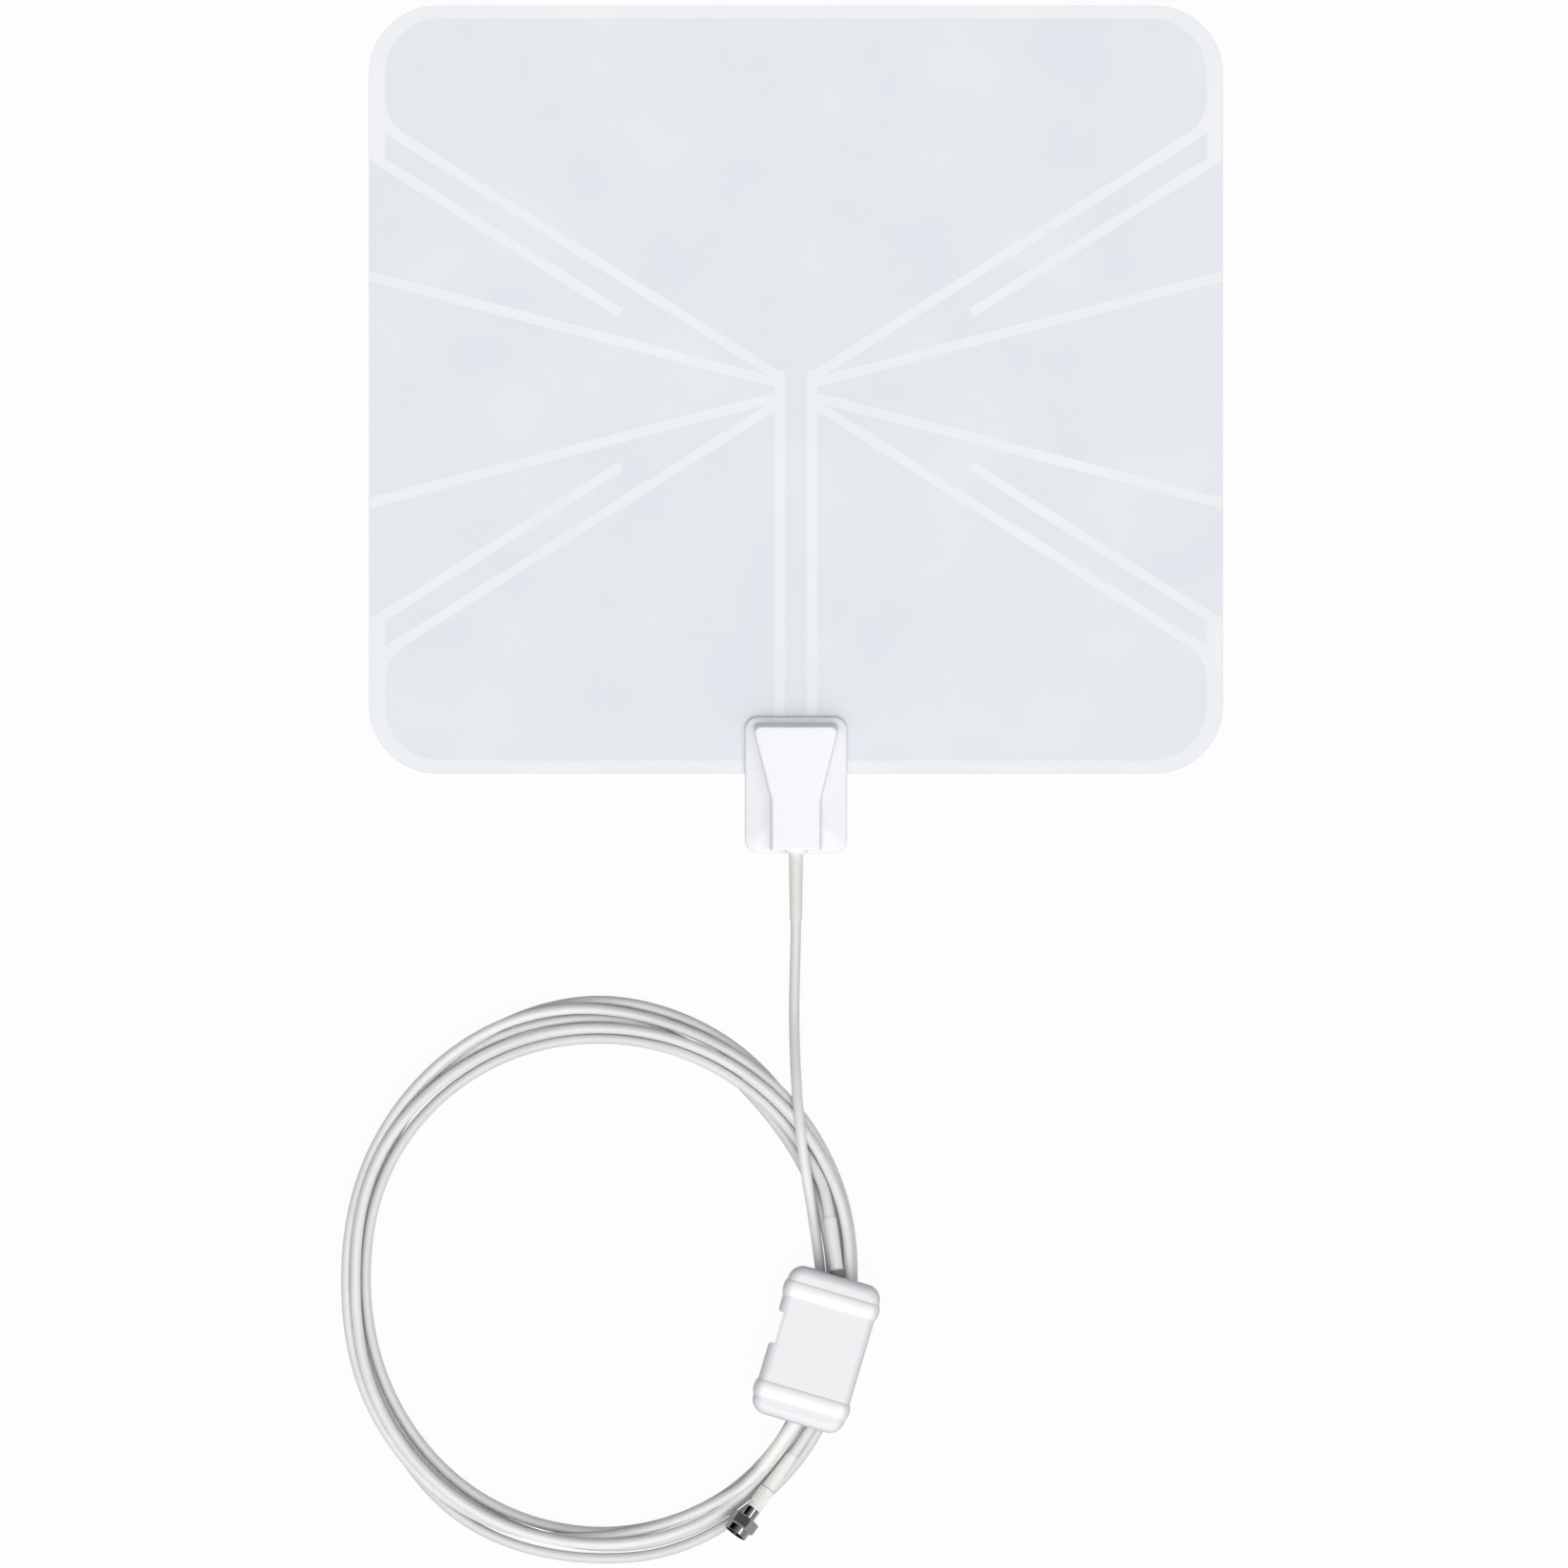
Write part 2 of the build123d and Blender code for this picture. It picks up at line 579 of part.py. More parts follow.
# Insulator and centre pin
with BuildPart() as plug_insulator:
    with BuildSketch(plug_plane.offset(flange_start)):
        Circle(INSULATOR_RADIUS)
    extrude(amount=pin_start - flange_start)
with BuildPart() as centre_pin:
    with BuildSketch(plug_plane.offset(pin_start)):
        Circle(PIN_RADIUS)
    extrude(amount=nut_end - pin_start)

# Coupling nut: hexagon with a round lip, turning on the neck
with BuildPart() as coupling_nut:
    with BuildSketch(plug_plane.offset(nut_start)):
        RegularPolygon(nut_corner, NUT_SIDES, rotation=NUT_TURN)
    extrude(amount=NUT_HEX_LENGTH)
    nut_ends = faces().sort_by(Axis(plug_plane.origin, plug_axis))
    chamfer(nut_ends[0].edges() + nut_ends[-1].edges(), NUT_CHAMFER)
    with BuildSketch(plug_plane.offset(nut_lip_start)):
        Circle(NUT_LIP_RADIUS)
    extrude(amount=NUT_LIP_LENGTH)
    with BuildSketch(plug_plane.offset(nut_start)):
        Circle(PLUG_NECK_RADIUS + NUT_RADIAL_CLEARANCE)
    extrude(amount=NUT_BACK, mode=Mode.SUBTRACT)
    with BuildSketch(plug_plane.offset(nut_start + NUT_BACK)):
        Circle(NUT_BORE_RADIUS)
    extrude(amount=nut_end - nut_start - NUT_BACK, mode=Mode.SUBTRACT)

# Sleeves on the lead at both ends of the amplifier, each a straight rod into its port
port_height = AMP_PARTING
input_port = amp_plane.from_local_coords((0, AMP_LENGTH / 2, port_height))
output_port = amp_plane.from_local_coords((0, -AMP_LENGTH / 2, port_height))
port_radii = {"input_sleeve": GROMMET_RADIUS, "output_sleeve": SLEEVE_RADIUS}
sleeve_parts = {}
sleeve_planes = {}
sleeve_lengths = {}
for sleeve_name, outer_end, port in (
    ("input_sleeve", AMP_INPUT_ROUTE[-1], input_port),
    ("output_sleeve", AMP_OUTPUT_ROUTE[0], output_port),
):
    run = port - Vector(outer_end)
    sleeve_planes[sleeve_name] = Plane(outer_end, z_dir=run)
    sleeve_lengths[sleeve_name] = run.length + SLEEVE_TAIL
    with BuildPart() as sleeve:
        with BuildSketch(sleeve_planes[sleeve_name]):
            Circle(SLEEVE_RADIUS)
        extrude(amount=sleeve_lengths[sleeve_name])
    sleeve_parts[sleeve_name] = sleeve.part

# Rubber grommet round the input sleeve, held in the amplifier's end wall
grommet_start = sleeve_lengths["input_sleeve"] - SLEEVE_TAIL - GROMMET_PROUD
with BuildPart() as input_grommet:
    with BuildSketch(sleeve_planes["input_sleeve"].offset(grommet_start)):
        Circle(GROMMET_RADIUS)
        Circle(SLEEVE_RADIUS + LEAD_CLEARANCE, mode=Mode.SUBTRACT)
    extrude(amount=GROMMET_PROUD + AMP_WALL)

# Amplifier body: a rounded box with two raised beads and a notch for the power plug
bead_x = AMP_WIDTH / 2 - BEAD_SUNK
bead_z = AMP_HEIGHT - BEAD_SUNK
notch_high = NOTCH_SHIFT + NOTCH_LENGTH / 2
notch_low = NOTCH_SHIFT - NOTCH_LENGTH / 2
with BuildPart() as amp_body:
    with BuildSketch(amp_plane):
        RectangleRounded(AMP_WIDTH, AMP_LENGTH, AMP_CORNER)
    extrude(amount=AMP_HEIGHT)
    fillet(faces().sort_by(Axis.Z)[-1].edges(), AMP_TOP_FILLET)
    fillet(faces().sort_by(Axis.Z)[0].edges(), AMP_BOTTOM_FILLET)
    for side in (-1, 1):
        bead_y = side * (AMP_LENGTH / 2 - BEAD_INSET)
        bead_corners = (
            (-bead_x, AMP_BOTTOM_FILLET),
            (-bead_x, bead_z),
            (bead_x, bead_z),
            (bead_x, AMP_BOTTOM_FILLET),
        )
        bead_points = [amp_plane.from_local_coords((x, bead_y, z)) for x, z in bead_corners]
        with BuildLine() as bead_path:
            FilletPolyline(*bead_points, radius=AMP_TOP_FILLET - BEAD_SUNK)
        with BuildSketch(Plane(bead_points[0], x_dir=amp_plane.y_dir, z_dir=amp_plane.z_dir)):
            Ellipse(BEAD_WIDTH / 2, BEAD_PROUD + BEAD_SUNK)
        sweep(path=bead_path.line)
    with BuildSketch(amp_plane):
        with BuildLine():
            Polyline(
                (-AMP_WIDTH / 2 - NOTCH_EDGE, notch_high + 2 * NOTCH_EDGE),
                (-AMP_WIDTH / 2 + NOTCH_EDGE, notch_high),
                (-AMP_WIDTH / 2 + NOTCH_DEPTH, notch_high),
                (-AMP_WIDTH / 2 + NOTCH_DEPTH, notch_low),
                (-AMP_WIDTH / 2 + NOTCH_EDGE, notch_low),
                (-AMP_WIDTH / 2 - NOTCH_EDGE, notch_low - 2 * NOTCH_EDGE),
                close=True,
            )
        make_face()
    extrude(amount=AMP_HEIGHT, mode=Mode.SUBTRACT)

# Room inside the amplifier
with BuildPart() as amp_room:
    with BuildSketch(amp_plane.offset(AMP_WALL)):
        RectangleRounded(AMP_WIDTH - 2 * AMP_WALL, AMP_LENGTH - 2 * AMP_WALL, AMP_CORNER - AMP_WALL)
        with Locations((-AMP_WIDTH / 2, NOTCH_SHIFT)):
            Rectangle(2 * (NOTCH_DEPTH + AMP_WALL), NOTCH_LENGTH + 2 * AMP_WALL, mode=Mode.SUBTRACT)
    extrude(amount=AMP_HEIGHT - 2 * AMP_WALL)

# Openings in the amplifier walls: one port for each sleeve and the power socket's window
socket_length, socket_width, socket_height = SOCKET_SIZE
amp_board_top = AMP_BOARD_HEIGHT + AMP_BOARD_THICKNESS
socket_x = -AMP_WIDTH / 2 + NOTCH_DEPTH
with BuildPart() as amp_openings:
    for sleeve_name, sleeve_plane in sleeve_planes.items():
        with BuildSketch(sleeve_plane):
            Circle(port_radii[sleeve_name] + FIT_CLEARANCE)
        extrude(amount=sleeve_lengths[sleeve_name] + FIT_CLEARANCE)
    with BuildSketch(amp_plane.offset(amp_board_top)):
        with Locations((socket_x, NOTCH_SHIFT)):
            Rectangle(2 * (AMP_WALL + FIT_CLEARANCE), socket_width + 2 * FIT_CLEARANCE)
    extrude(amount=socket_height + FIT_CLEARANCE)

# Amplifier covers, split at the parting plane, with posts under the board
parting_plane = amp_plane.offset(AMP_PARTING)
with BuildPart() as amp_top_cover:
    add(amp_body.part)
    add(amp_room.part, mode=Mode.SUBTRACT)
    add(amp_openings.part, mode=Mode.SUBTRACT)
    split(bisect_by=parting_plane, keep=Keep.TOP)
    with BuildSketch(parting_plane):
        with GridLocations(*AMP_POST_SPACING, 2, 2):
            Circle(AMP_POST_RADIUS)
            Circle(SCREW_RADIUS + SCREW_CLEARANCE, mode=Mode.SUBTRACT)
    extrude(amount=AMP_HEIGHT - AMP_WALL - AMP_PARTING)
with BuildPart() as amp_bottom_cover:
    add(amp_body.part)
    add(amp_room.part, mode=Mode.SUBTRACT)
    add(amp_openings.part, mode=Mode.SUBTRACT)
    split(bisect_by=parting_plane, keep=Keep.BOTTOM)
    with BuildSketch(amp_plane.offset(AMP_WALL)):
        with GridLocations(*AMP_POST_SPACING, 2, 2):
            Circle(AMP_POST_RADIUS)
    extrude(amount=AMP_PARTING - AMP_WALL)
    with BuildSketch(amp_plane.offset(AMP_WALL)):
        with GridLocations(AMP_POST_SPACING[0] - 2 * AMP_POST_RADIUS, AMP_POST_SPACING[1] / 2, 2, 2):
            Circle(AMP_POST_RADIUS / 2)
    extrude(amount=AMP_BOARD_HEIGHT - AMP_WALL)
    with Locations(Plane(amp_plane.origin, x_dir=amp_plane.x_dir, z_dir=-amp_plane.z_dir)):
        with GridLocations(*AMP_POST_SPACING, 2, 2):
            CounterSinkHole(SCREW_RADIUS + SCREW_CLEARANCE, SCREW_HEAD_RADIUS + SCREW_CLEARANCE)

# Amplifier screws
with BuildPart() as amp_screw:
    with BuildSketch(Plane(amp_plane.origin, x_dir=amp_plane.x_dir, z_dir=-amp_plane.y_dir)):
        with BuildLine():
            Polyline(
                (0, 0),
                (SCREW_HEAD_RADIUS, 0),
                (SCREW_RADIUS, SCREW_HEAD_HEIGHT),
                (SCREW_RADIUS, AMP_HEIGHT - 2 * AMP_WALL),
                (0, AMP_HEIGHT - 2 * AMP_WALL),
                close=True,
            )
        make_face()
    revolve(axis=Axis(amp_plane.origin, amp_plane.z_dir))
with BuildPart() as amp_screws:
    for corner in GridLocations(*AMP_POST_SPACING, 2, 2):
        shift = amp_plane.from_local_coords(corner.position) - amp_plane.origin
        add(amp_screw.part.moved(Location(shift)))

# Amplifier board, its shield can and the power socket
board_width = AMP_WIDTH - 2 * (AMP_WALL + AMP_BOARD_MARGIN)
board_length = AMP_LENGTH - 2 * (AMP_WALL + AMP_BOARD_MARGIN)
with BuildPart() as amp_board:
    with BuildSketch(amp_plane.offset(AMP_BOARD_HEIGHT)):
        Rectangle(board_width, board_length)
        with GridLocations(*AMP_POST_SPACING, 2, 2):
            Circle(AMP_POST_RADIUS + FIT_CLEARANCE, mode=Mode.SUBTRACT)
        with Locations((-AMP_WIDTH / 2, NOTCH_SHIFT)):
            Rectangle(
                2 * (NOTCH_DEPTH + AMP_WALL + AMP_BOARD_MARGIN),
                NOTCH_LENGTH + 2 * (AMP_WALL + AMP_BOARD_MARGIN),
                mode=Mode.SUBTRACT,
            )
    extrude(amount=AMP_BOARD_THICKNESS)
with BuildPart() as shield_can:
    with BuildSketch(amp_plane.offset(amp_board_top)):
        with Locations((CAN_SHIFT, 0)):
            RectangleRounded(CAN_SIZE[0], CAN_SIZE[1], CAN_FILLET)
    extrude(amount=CAN_SIZE[2])
    with BuildSketch(amp_plane.offset(amp_board_top)):
        with Locations((CAN_SHIFT, 0)):
            Rectangle(CAN_SIZE[0] - 2 * CAN_WALL, CAN_SIZE[1] - 2 * CAN_WALL)
    extrude(amount=CAN_SIZE[2] - CAN_WALL, mode=Mode.SUBTRACT)
socket_face = Plane(
    amp_plane.from_local_coords((socket_x, NOTCH_SHIFT, amp_board_top)),
    x_dir=amp_plane.y_dir,
    z_dir=amp_plane.x_dir,
)
with BuildPart() as power_socket:
    with BuildSketch(socket_face):
        Rectangle(socket_width, socket_height, align=(Align.CENTER, Align.MIN))
    extrude(amount=socket_length)
    with BuildSketch(socket_face):
        with Locations((0, socket_height / 2)):
            Rectangle(socket_width - 2 * SOCKET_WALL, socket_height - 2 * SOCKET_WALL)
            Rectangle(socket_width / 2, SOCKET_TONGUE, mode=Mode.SUBTRACT)
    extrude(amount=socket_length - SOCKET_WALL, mode=Mode.SUBTRACT)

pieces = {
    "antenna_panel": antenna_panel.part,
    "printed_element": printed_element.part,
    "base_front_cover": base_front_cover.part,
    "base_rear_cover": base_rear_cover.part,
    "balun_board": balun_board.part,
    "balun_core": balun_core.part,
    "feed_contacts": feed_contacts.part,
    "base_screws": base_screw_pair.part,
    "base_strain_relief": base_strain_relief.part,
    "cable_coil": cable_coil.part,
    "plug_sleeve": plug_sleeve.part,
    "plug_grip": plug_grip.part,
    "plug_body": plug_body.part,
    "plug_insulator": plug_insulator.part,
    "centre_pin": centre_pin.part,
    "coupling_nut": coupling_nut.part,
    "input_grommet": input_grommet.part,
    "amp_top_cover": amp_top_cover.part,
    "amp_bottom_cover": amp_bottom_cover.part,
    "amp_screws": amp_screws.part,
    "amp_board": amp_board.part,
    "shield_can": shield_can.part,
    "power_socket": power_socket.part,
    **lead_parts,
    **sleeve_parts,
}
for piece_name, piece in pieces.items():
    piece.label = piece_name
    export_step(piece, f"parts/{piece_name}.step")
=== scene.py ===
"""Flat indoor television antenna: printed sheet, base, coiled lead, in-line amplifier and plug.

Lengths are in millimetres, apart from those that a docstring gives in metres. Angles are in
degrees. Travel along the coil falls from the base to the plug, and a turn is a full circle of it.
"""

import logging
import math
from dataclasses import dataclass, field
from enum import Enum, IntEnum

import bpy
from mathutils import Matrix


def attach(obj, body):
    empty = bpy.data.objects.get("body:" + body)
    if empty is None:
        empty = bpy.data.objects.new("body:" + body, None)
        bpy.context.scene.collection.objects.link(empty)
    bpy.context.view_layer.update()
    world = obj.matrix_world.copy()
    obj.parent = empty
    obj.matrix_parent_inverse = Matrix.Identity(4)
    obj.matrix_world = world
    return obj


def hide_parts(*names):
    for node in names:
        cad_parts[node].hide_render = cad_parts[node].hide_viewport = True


Point = tuple[float, float, float]
Colour = tuple[float, float, float, float]
Key = tuple[float, float]

MM = 0.001
BODY = "antenna"

# Display colours to scene-linear values.
BYTE = 255
SRGB_TOE = 0.04045
SRGB_TOE_SLOPE = 12.92
SRGB_OFFSET = 0.055
SRGB_POWER = 2.4
WHITE = (1.0, 1.0, 1.0, 1.0)

# Grain and mottle that the finishes share, in waves per metre, and the noise levels they mix at.
GRAIN_SCALE = 900.0
MOTTLE_SCALE = 14.0
GRAIN_IN_RELIEF = 0.8
DARK_UP_TO = 0.35
LIGHT_FROM = 0.65

# The lead and how its turns are laid: a strand presses a little into those below it, and a spline
# runs inside its control points by the draw-in.
LEAD_DIAMETER = 4.1
LEAD_RADIUS = LEAD_DIAMETER / 2
PRESSED = 0.97
COIL_CENTRE = (-76.9, -335.0)
STEP = 10
HALF_TURN = 180
FULL_TURN = 360
SPLINE_DRAW_IN = math.cos(math.radians(STEP / 2))
SPLINE_ORDER = 3
SPLINE_STEPS = 6
ROUND_STEPS = 5

LAMP_TINT = (1.07, 1.02, 0.92)

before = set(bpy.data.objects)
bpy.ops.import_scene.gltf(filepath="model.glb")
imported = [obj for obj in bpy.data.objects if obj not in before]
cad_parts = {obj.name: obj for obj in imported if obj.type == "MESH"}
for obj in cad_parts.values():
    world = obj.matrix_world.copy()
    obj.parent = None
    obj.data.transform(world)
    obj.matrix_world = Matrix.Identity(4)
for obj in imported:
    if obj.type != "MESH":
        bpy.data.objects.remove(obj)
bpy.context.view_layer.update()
log = logging.getLogger("antenna_scene")


class Surface(Enum):
    """How a finish answers light: its specular level and its metallic share."""

    MATT = (0.25, 0.0)
    SATIN = (0.45, 0.0)
    METAL = (0.45, 1.0)


class Cord(Enum):
    """Which of the two cords a turn belongs to."""

    LEAD = "lead"
    TAIL = "tail"


class MixIn(IntEnum):
    """Inputs of a mix node, whose names repeat for each kind of value."""

    FLOAT_A = 2
    FLOAT_B = 3
    VECTOR_A = 4
    VECTOR_B = 5
    COLOUR_A = 6
    COLOUR_B = 7


class MixOut(IntEnum):
    """Outputs of a mix node, whose names repeat for each kind of value."""

    FLOAT = 0
    VECTOR = 1
    COLOUR = 2


def linear(value: int) -> float:
    """Turns one 8-bit channel of a display colour into its scene-linear value.

    Args:
        value: The channel, 0 to 255.

    Returns:
        The linear value, 0 to 1.
    """
    share = value / BYTE
    if share <= SRGB_TOE:
        return share / SRGB_TOE_SLOPE
    return ((share + SRGB_OFFSET) / (1.0 + SRGB_OFFSET)) ** SRGB_POWER


def srgb(red: int, green: int, blue: int) -> Colour:
    """Turns an 8-bit display colour into a scene-linear one with full alpha."""
    return linear(red), linear(green), linear(blue), 1.0


class NodeTree:
    """Small helper that adds nodes and links to one node tree."""

    def __init__(self, tree: bpy.types.NodeTree) -> None:
        """Keeps the tree."""
        self.tree = tree

    def add(self, kind: str, **values: object) -> bpy.types.Node:
        """Adds a node and sets its properties and unlinked inputs.

        Args:
            kind: Blender's node type name.
            values: Properties by name, or inputs by name with spaces as underscores.

        Returns:
            The new node.
        """
        node = self.tree.nodes.new(kind)
        for name, value in values.items():
            if hasattr(node, name):
                setattr(node, name, value)
            else:
                node.inputs[name.replace("_", " ")].default_value = value
        return node

    def link(self, source: bpy.types.NodeSocket, target: bpy.types.NodeSocket) -> None:
        """Joins two sockets."""
        self.tree.links.new(source, target)


def surface_grain_group() -> bpy.types.NodeTree:
    """Builds the shared group for fine grain, slow mottle and the height on a piece.

    Returns:
        Group with a coordinate, two scales and two heights as inputs, and the grain, the mottle,
        the relief made of both, and the rise between the two heights, the mask of the painted
        shade, as outputs.
    """
    group = bpy.data.node_groups.new("surface_grain", "ShaderNodeTree")
    face = group.interface
    face.new_socket("Coordinate", in_out="INPUT", socket_type="NodeSocketVector")
    for name, value in (
        ("Grain Scale", GRAIN_SCALE),
        ("Mottle Scale", MOTTLE_SCALE),
        ("Rise From", 0.0),
        ("Rise To", 1.0),
    ):
        socket = face.new_socket(name, in_out="INPUT", socket_type="NodeSocketFloat")
        socket.default_value = value
    for name in ("Grain", "Mottle", "Height", "Rise"):
        face.new_socket(name, in_out="OUTPUT", socket_type="NodeSocketFloat")
    tree = NodeTree(group)
    source = tree.add("NodeGroupInput")
    result = tree.add("NodeGroupOutput")
    grain = tree.add("ShaderNodeTexNoise", Detail=3.0, Roughness=0.6)
    mottle = tree.add("ShaderNodeTexNoise", Detail=2.0, Roughness=0.5)
    for noise, name in ((grain, "Grain"), (mottle, "Mottle")):
        tree.link(source.outputs["Coordinate"], noise.inputs["Vector"])
        tree.link(source.outputs[f"{name} Scale"], noise.inputs["Scale"])
        tree.link(noise.outputs["Fac"], result.inputs[name])
    height = tree.add("ShaderNodeMath", operation="MULTIPLY_ADD")
    height.inputs[1].default_value = GRAIN_IN_RELIEF
    tree.link(grain.outputs["Fac"], height.inputs[0])
    tree.link(mottle.outputs["Fac"], height.inputs[2])
    tree.link(height.outputs["Value"], result.inputs["Height"])
    # The rise over the floor between two heights is the mask that places the painted shade.
    axes = tree.add("ShaderNodeSeparateXYZ")
    rise = tree.add("ShaderNodeMapRange")
    tree.link(source.outputs["Coordinate"], axes.inputs["Vector"])
    tree.link(axes.outputs["Z"], rise.inputs["Value"])
    tree.link(source.outputs["Rise From"], rise.inputs["From Min"])
    tree.link(source.outputs["Rise To"], rise.inputs["From Max"])
    tree.link(rise.outputs["Result"], result.inputs["Rise"])
    return group


@dataclass(frozen=True)
class Finish:
    """A finish: two close colours mixed by grain and mottle, painted shade by height, and fine
    relief.

    The relief's depth is in metres. Each painted shade is a height and the share of the colour
    kept there, which darkens the lower parts as if they lay in shade, and a painted_shade_warmth
    below one keeps more of the blue in that painted shade.
    """

    name: str
    light: Colour
    dark: Colour
    surface: Surface
    roughness: float
    rough_spread: float = 0.08
    grain_scale: float = GRAIN_SCALE
    mottle_scale: float = MOTTLE_SCALE
    grain_share: float = 0.4
    relief: float = 0.08
    relief_depth: float = 0.0002
    coat: float = 0.0
    painted_shades: tuple[Key, ...] = ()
    painted_shade_warmth: float = 1.0

    def material(self, group: bpy.types.NodeTree) -> bpy.types.Material:
        """Builds the material.

        Args:
            group: The shared grain group.

        Returns:
            A node material on Object coordinates.
        """
        made = bpy.data.materials.new(self.name)
        made.use_nodes = True
        made.node_tree.nodes.clear()
        tree = NodeTree(made.node_tree)
        place = tree.add("ShaderNodeTexCoord")
        grain = tree.add("ShaderNodeGroup", node_tree=group)
        grain.inputs["Grain Scale"].default_value = self.grain_scale
        grain.inputs["Mottle Scale"].default_value = self.mottle_scale
        tree.link(place.outputs["Object"], grain.inputs["Coordinate"])
        specular, metallic = self.surface.value
        shader = tree.add("ShaderNodeBsdfPrincipled", Metallic=metallic, Coat_Weight=self.coat)
        shader.inputs["Specular IOR Level"].default_value = specular
        tree.link(self.colour(tree, grain), shader.inputs["Base Color"])
        rough = tree.add("ShaderNodeMapRange")
        rough.inputs["To Min"].default_value = self.roughness - self.rough_spread
        rough.inputs["To Max"].default_value = self.roughness + self.rough_spread
        tree.link(grain.outputs["Grain"], rough.inputs["Value"])
        tree.link(rough.outputs["Result"], shader.inputs["Roughness"])
        bump = tree.add("ShaderNodeBump", Strength=self.relief, Distance=self.relief_depth)
        tree.link(grain.outputs["Height"], bump.inputs["Height"])
        tree.link(bump.outputs["Normal"], shader.inputs["Normal"])
        output = tree.add("ShaderNodeOutputMaterial")
        tree.link(shader.outputs["BSDF"], output.inputs["Surface"])
        return made

    def colour(self, tree: NodeTree, grain: bpy.types.Node) -> bpy.types.NodeSocket:
        """Mixes the two colours by grain and mottle, and darkens the mix by height with painted
        shade where the finish has it.

        Args:
            tree: The material's tree.
            grain: The grain group's node.

        Returns:
            The colour.
        """
        blend = tree.add("ShaderNodeMix", data_type="FLOAT", Factor=self.grain_share)
        tree.link(grain.outputs["Mottle"], blend.inputs[MixIn.FLOAT_A])
        tree.link(grain.outputs["Grain"], blend.inputs[MixIn.FLOAT_B])
        steps = tree.add("ShaderNodeValToRGB")
        low, high = steps.color_ramp.elements
        low.position, low.color = DARK_UP_TO, self.dark
        high.position, high.color = LIGHT_FROM, self.light
        tree.link(blend.outputs[MixOut.FLOAT], steps.inputs["Fac"])
        mixed = steps.outputs["Color"]
        return self.with_painted_shade(tree, grain, mixed) if self.painted_shades else mixed

    def with_painted_shade(
        self, tree: NodeTree, grain: bpy.types.Node, mixed: bpy.types.NodeSocket
    ) -> bpy.types.NodeSocket:
        """Paints shade into a colour by height, so that edges and fields below the crests read
        darker as if shaded.

        Args:
            tree: The material's tree.
            grain: The grain group's node.
            mixed: The colour to dim.

        Returns:
            The dimmed colour.
        """
        low, high = self.painted_shades[0][0], self.painted_shades[-1][0]
        grain.inputs["Rise From"].default_value = low * MM
        grain.inputs["Rise To"].default_value = high * MM
        # Painted shade: each stop keeps a share of the colour at its height, and keeps more of the
        # blue.
        ramp = tree.add("ShaderNodeValToRGB")
        stops = ramp.color_ramp.elements
        for _ in self.painted_shades[2:]:
            stops.new(1.0)
        for stop, (height, share) in zip(stops, self.painted_shades):
            stop.position = (height - low) / (high - low)
            stop.color = (share, share, share**self.painted_shade_warmth, 1.0)
        dim = tree.add("ShaderNodeMix", data_type="RGBA", blend_type="MULTIPLY", Factor=1.0)
        tree.link(grain.outputs["Rise"], ramp.inputs["Fac"])
        tree.link(mixed, dim.inputs[MixIn.COLOUR_A])
        tree.link(ramp.outputs["Color"], dim.inputs[MixIn.COLOUR_B])
        return dim.outputs[MixOut.COLOUR]


FILM = Finish(
    "panel_film", srgb(231, 234, 239), srgb(225, 229, 236), Surface.MATT, roughness=0.55,
    mottle_scale=22.0,
)
PRINT = Finish(
    "printed_ink", srgb(239, 241, 244), srgb(234, 237, 241), Surface.MATT, roughness=0.5
)
# Painted shade: the base's outline, wings and slopes below the plateau darker by height, bluer
# cast.
WHITE_MOULDING = Finish(
    "base_plastic", srgb(247, 249, 252), srgb(243, 245, 249), Surface.SATIN, roughness=0.38,
    coat=0.1,
    painted_shades=((2.1, 0.86), (2.9, 0.9), (3.2, 0.925), (4.5, 0.93), (6.8, 0.92), (9.6, 0.975)),
    painted_shade_warmth=0.9,
)
# Painted shade: the amplifier's sides, shoulder and field darker by height, so that only the bead
# crests keep the full colour, with a bluer cast.
COOL_MOULDING = Finish(
    "amp_plastic", srgb(251, 251, 253), srgb(247, 247, 250), Surface.SATIN, roughness=0.32,
    coat=0.15,
    painted_shades=(
        (11.0, 0.9), (16.0, 0.72), (18.1, 0.5), (19.2, 0.55), (20.3, 0.72), (21.2, 0.82),
        (21.95, 0.855), (22.6, 1.0),
    ),
    painted_shade_warmth=0.9,
)
# Painted shade: the lower sides of the strands, in the gaps between turns and under them, darker
# by height, with a bluer cast.
JACKET = Finish(
    "lead_jacket", srgb(233, 234, 234), srgb(226, 228, 228), Surface.SATIN, roughness=0.36,
    mottle_scale=60.0,
    painted_shades=((1.8, 0.48), (2.6, 0.68), (3.4, 0.82), (4.4, 0.87), (7.5, 0.92), (10.0, 1.0)),
    painted_shade_warmth=0.95,
)
SLEEVE = Finish(
    "sleeve_vinyl", srgb(240, 240, 237), srgb(233, 233, 230), Surface.SATIN, roughness=0.4
)
BOOT = Finish(
    "boot_vinyl", srgb(229, 229, 224), srgb(222, 222, 217), Surface.SATIN, roughness=0.42
)
RUBBER = Finish(
    "grommet_rubber", srgb(132, 138, 143), srgb(116, 122, 127), Surface.MATT, roughness=0.7
)
NICKEL = Finish(
    "nickel", srgb(154, 151, 149), srgb(134, 132, 132), Surface.METAL, roughness=0.18,
    rough_spread=0.05,
)
BRASS = Finish(
    "spring_brass", srgb(205, 170, 110), srgb(180, 145, 90), Surface.METAL, roughness=0.35
)
STEEL = Finish(
    "screw_steel", srgb(190, 190, 188), srgb(165, 165, 165), Surface.METAL, roughness=0.32
)
BOARD = Finish("board", srgb(36, 104, 58), srgb(24, 84, 46), Surface.SATIN, roughness=0.4)
